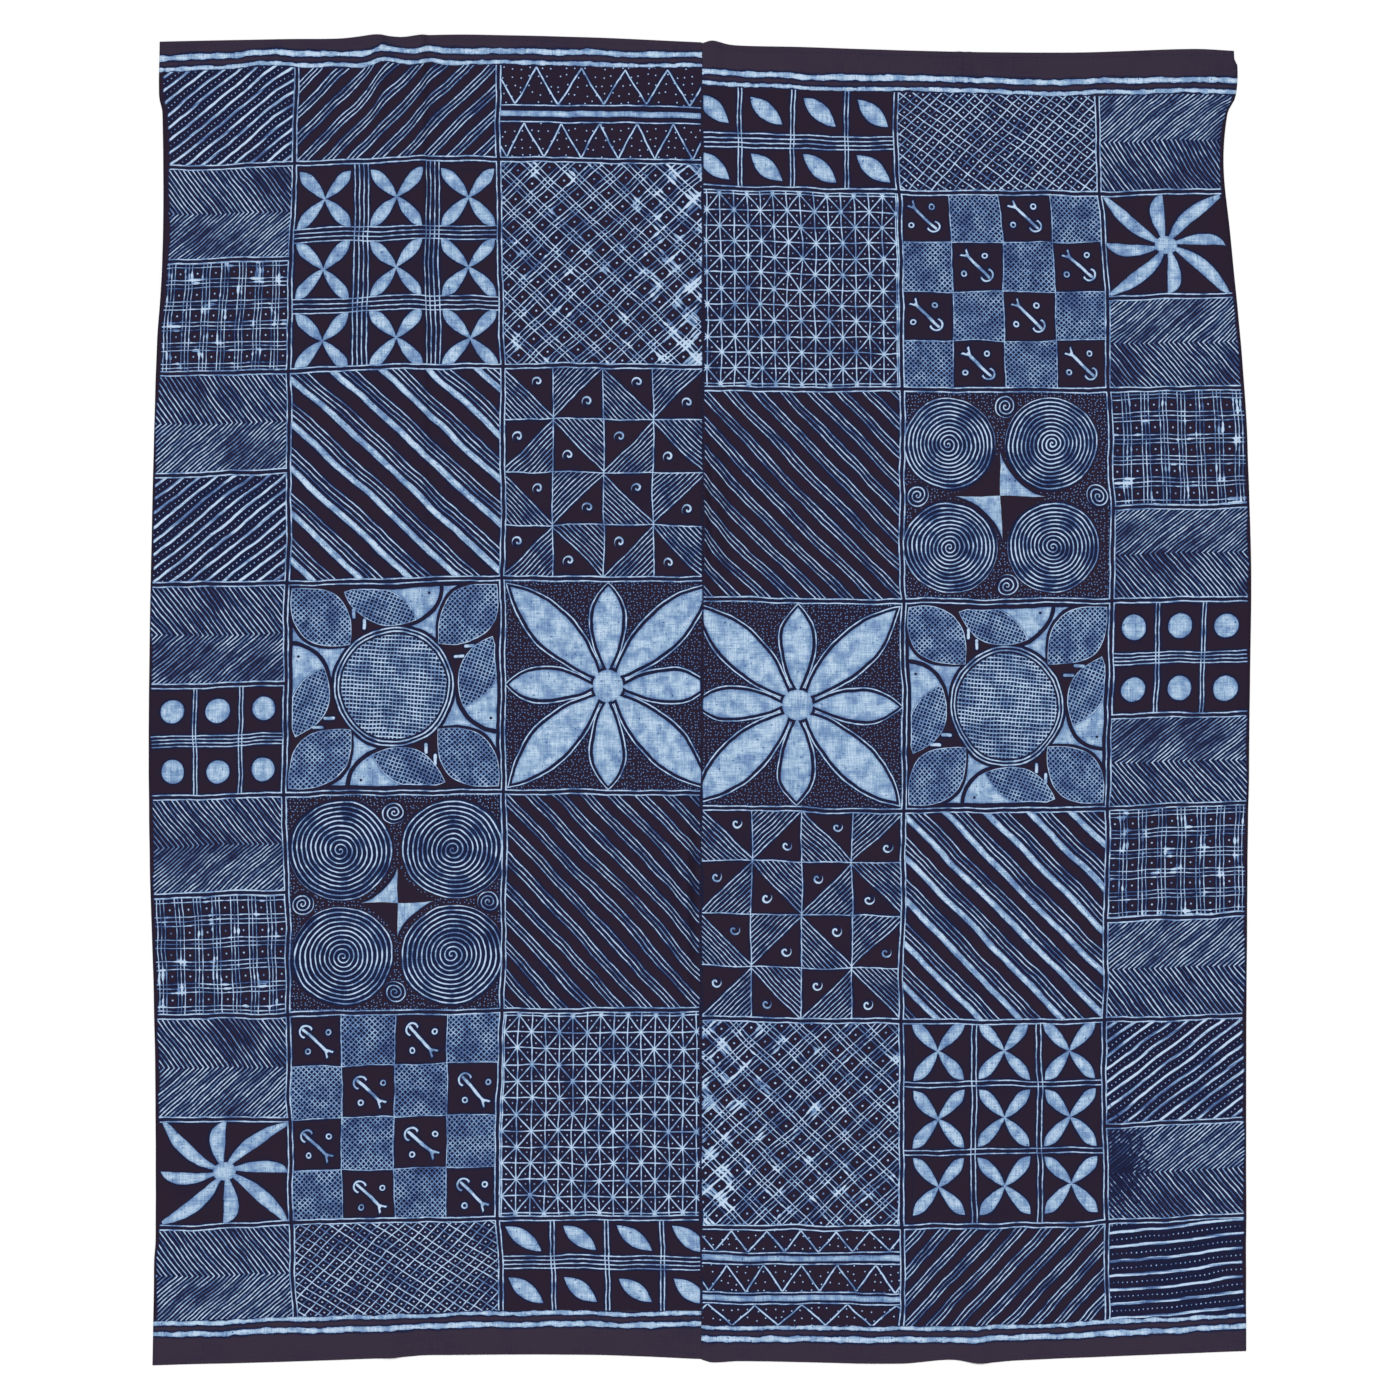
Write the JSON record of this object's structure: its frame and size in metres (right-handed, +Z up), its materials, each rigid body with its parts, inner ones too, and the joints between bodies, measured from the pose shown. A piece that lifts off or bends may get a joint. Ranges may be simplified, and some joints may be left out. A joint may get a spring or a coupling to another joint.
{
  "type": "adire indigo cloth",
  "caption": "Indigo starch-resist wrapper cloth laid out flat: cotton panels sewn along a centre seam, with a painted grid of line, check, star, spiral, flower and bird squares.",
  "frame": {"origin": "on the surface that the cloth lies on, under the middle of its outline", "axes": "+X across the panels to the right, +Y along the seam to the top end, +Z up out of the patterned face"},
  "size_m": [1.6532, 1.9952, 0.0083],
  "materials": {
    "indigo_cotton": "matte"
  },
  "bodies": {
    "root": {"panel_left": "indigo_cotton", "panel_right": "indigo_cotton"}
  },
  "joints": []
}
